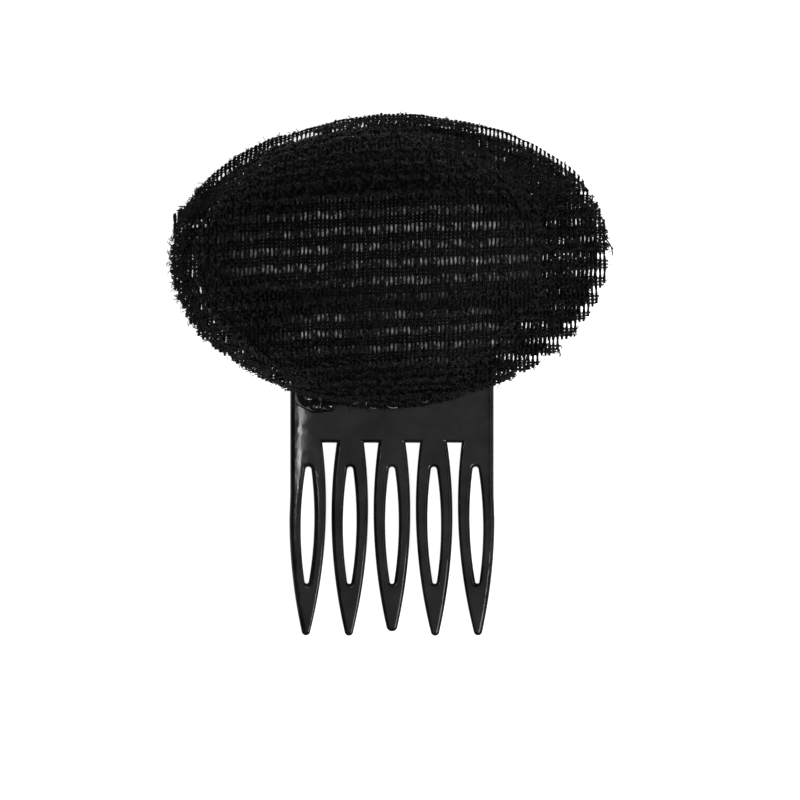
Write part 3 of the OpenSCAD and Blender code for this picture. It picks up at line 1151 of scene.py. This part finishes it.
BLACK = (0.0005, 0.0005, 0.0006)
woven_colours = (BLACK, (0.0015, 0.0015, 0.0017))
glossy_colours = (BLACK, (0.0020, 0.0020, 0.0023))
# Pale colour as a painted glint: these strands stand for black ones that catch the light.
painted_glint_colours = ((0.10, 0.10, 0.11), (0.50, 0.50, 0.52))
woven = nylon("woven nylon", woven_colours, (0.25, 0.5), (0.3, 0.7), Specular_IOR_Level=0.09)
glossy = nylon("glossy nylon", glossy_colours, (0.05, 0.6), (0.3, 0.52), Specular_IOR_Level=0.31)
pale = nylon("nylon with painted glint", painted_glint_colours, (0.2, 0.5), (0.3, 0.7), Specular_IOR_Level=0.5)
wear(front_net, woven, "grip_mesh", "front_cover")
wear(back_net, woven, "grip_mesh", "back_cover")
for piece in (*front_hooks, rim_whiskers, *back_hooks):
    wear(piece, glossy, "grip_mesh")
wear(rim_strands, pale, "grip_mesh")

# %% [markdown]
# The sponge's open pores are cells of half a millimetre. Its colour carries painted light and
# shade: in two ovals in the middle it is pale, so that it shows through the holes as lit grey
# with a little blue, and towards its sides it falls off to nearly black as painted shade. Hardly
# any light gets through the mesh, so the colour has to be very pale there to look grey. Fine
# flecks in it are part mottling and part painted glints.

# %% Sponge
PAINTED_LIGHT_MIDDLE = ((-0.0010, 0.0303), (0.046, 0.0140))
PAINTED_LIGHT_LOW = ((0.0026, 0.0094), (0.034, 0.0085))
CELL = 0.0006


def near(material, place, centre, half):
    """1 in the middle of an oval, falling to 0 at its edge."""
    scale = (1 / half[0], 1 / half[1], 0)
    shift = (-centre[0] / half[0], -centre[1] / half[1], 0)
    moved = node(material, "Mapping", {"Vector": place, "Scale": scale, "Location": shift})
    ball = node(material, "TexGradient", {"Vector": moved["Vector"]}, gradient_type="SPHERICAL")
    return ball["Fac"]


def joined(material, how, one, other):
    return node(material, "Math", {0: one, 1: other}, operation=how)["Value"]


sponge, shader, place = finish_of("dark sponge", Roughness=0.8, Specular_IOR_Level=0.3)
cells = node(sponge, "TexVoronoi", {"Vector": place, "Scale": 1 / CELL})["Distance"]
middle, low = (near(sponge, place, *oval) for oval in (PAINTED_LIGHT_MIDDLE, PAINTED_LIGHT_LOW))
# Painted light: the two ovals mark where the sponge's colour is made pale, as if lit.
painted_light_zones = spread(sponge, joined(sponge, "MAXIMUM", middle, low), 0, 1, among=(0.02, 0.30))
# The flecks are part mottling and part painted glints.
flecks_and_painted_glints = spread(sponge, noise(sponge, place, 0.0014), 0.08, 1, among=(0.36, 0.60))
painted_light_and_shade = joined(sponge, "MULTIPLY", painted_light_zones, flecks_and_painted_glints)
# Painted light and shade: pale in the ovals, falling to nearly black outside them.
tint(sponge, shader, painted_light_and_shade, (0.02, 0.02, 0.023), (0.93, 0.94, 1.0))
relief(sponge, shader, cells, 0.0003)
wear(foam_core, sponge, "foam", "foam_core")

# %% [markdown]
# The comb is polystyrene from a polished mould, so it is smooth and shines, with the faint
# flow of the plastic in it and a little dullness from handling. The relief is only a hundredth
# of a millimetre deep, because a deeper one would break up the streak of light.

# %% Comb plastic
plastic, shader, place = finish_of(
    "comb plastic", Specular_IOR_Level=0.115, Coat_Weight=0.08, Coat_Roughness=0.30
)
flow = spread(plastic, noise(plastic, place, 0.007, 6), 0, 1)
tint(plastic, shader, flow, (0.001, 0.001, 0.0012), (0.014, 0.014, 0.0155))
dull(plastic, shader, spread(plastic, noise(plastic, place, 0.003, 5), 0.04, 0.10))
relief(plastic, shader, noise(plastic, place, 0.002, 2), 0.000012)
wear(comb, plastic, "comb_plastic", "comb")

# %% [markdown]
# Melted glue sets black and very smooth, so each lump carries small sharp lights.

# %% Glue finish
melted, shader, place = finish_of("melted glue", Roughness=0.07, Specular_IOR_Level=0.4)
clouds = spread(melted, noise(melted, place, 0.002), 0, 1)
tint(melted, shader, clouds, (0.004, 0.004, 0.004), (0.008, 0.008, 0.008))
relief(melted, shader, noise(melted, place, 0.0015), 0.00001)
wear(glue, melted, "glue", "glue_bead")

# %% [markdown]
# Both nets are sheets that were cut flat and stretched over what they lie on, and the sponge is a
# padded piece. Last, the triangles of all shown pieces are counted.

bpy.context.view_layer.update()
print("all pieces:", sum(triangles(p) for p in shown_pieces()), "triangles")
